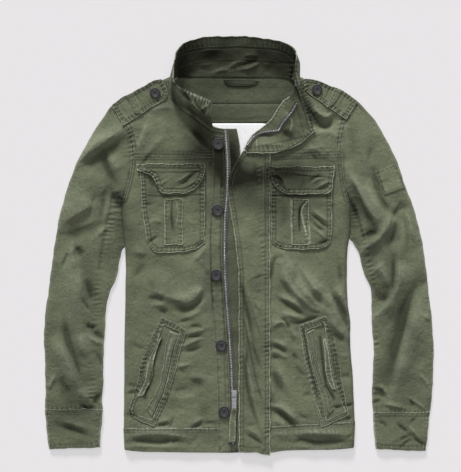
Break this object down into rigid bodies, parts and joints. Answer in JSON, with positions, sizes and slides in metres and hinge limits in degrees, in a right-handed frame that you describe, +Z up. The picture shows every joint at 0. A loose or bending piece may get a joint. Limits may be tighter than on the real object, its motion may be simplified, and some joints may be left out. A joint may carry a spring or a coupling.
{
  "type": "denim field jacket",
  "caption": "Olive washed-cotton field jacket laid flat, collar and zip open, with flap chest pockets, slanted hip pockets and shoulder straps.",
  "frame": {"origin": "middle of the jacket's outline, on the surface that it lies on", "axes": "+X towards the wearer's left, +Y from the hem to the collar, +Z up out of the surface"},
  "size_m": [0.722, 0.7753, 0.0548],
  "materials": {
    "twill": "washed olive cotton twill, worn pale at its edges",
    "inside_twill": "olive cotton inside the neck and behind the zip",
    "lining": "off-white lining",
    "zip_tape": "grey woven tape",
    "button": "dark turned buttons",
    "nickel": "antique nickel"
  },
  "bodies": {
    "jacket": {"back_facing_lower": "inside_twill", "back_facing_upper": "inside_twill", "back_lining": "lining", "back_panel": "twill", "button_1": "button", "button_2": "button", "button_3": "button", "button_4": "button", "button_5": "button", "button_band": "twill", "chest_pocket_left": "twill", "chest_pocket_right": "twill", "collar": "twill", "cuff_left": "twill", "cuff_right": "twill", "front_left": "twill", "front_right": "twill", "front_yoke_left": "twill", "front_yoke_right": "twill", "hanger_loop": "inside_twill", "hem_band_back": "twill", "hem_band_left": "twill", "hem_band_right": "twill", "hip_frame_left": "twill", "hip_frame_right": "twill", "hip_liner_left": "twill", "hip_liner_right": "twill", "hip_welt_left": "twill", "hip_welt_right": "twill", "pocket_flap_left": "twill", "pocket_flap_right": "twill", "pocket_pleat_left": "twill", "pocket_pleat_right": "twill", "sleeve_left": "twill", "sleeve_patch": "twill", "sleeve_right": "twill", "storm_flap": "twill", "strap_button_left": "button", "strap_button_right": "button", "strap_left": "twill", "strap_loop_left": "twill", "strap_loop_right": "twill", "strap_right": "twill", "zip_guard": "inside_twill", "zip_slider": "nickel", "zip_tape_left": "zip_tape", "zip_tape_left_lower": "zip_tape", "zip_tape_right": "zip_tape"},
    "zip_pull": {"zip_pull": "nickel", "zip_pull_strip": "twill"}
  },
  "joints": [
    {"name": "zip_pull_tab", "type": "hinge", "parent": "jacket", "child": "zip_pull", "pos_m": [-0.0085, -0.27495, 0.01382], "axis": [-1, 0, 0], "range_deg": [0, 150]}
  ]
}
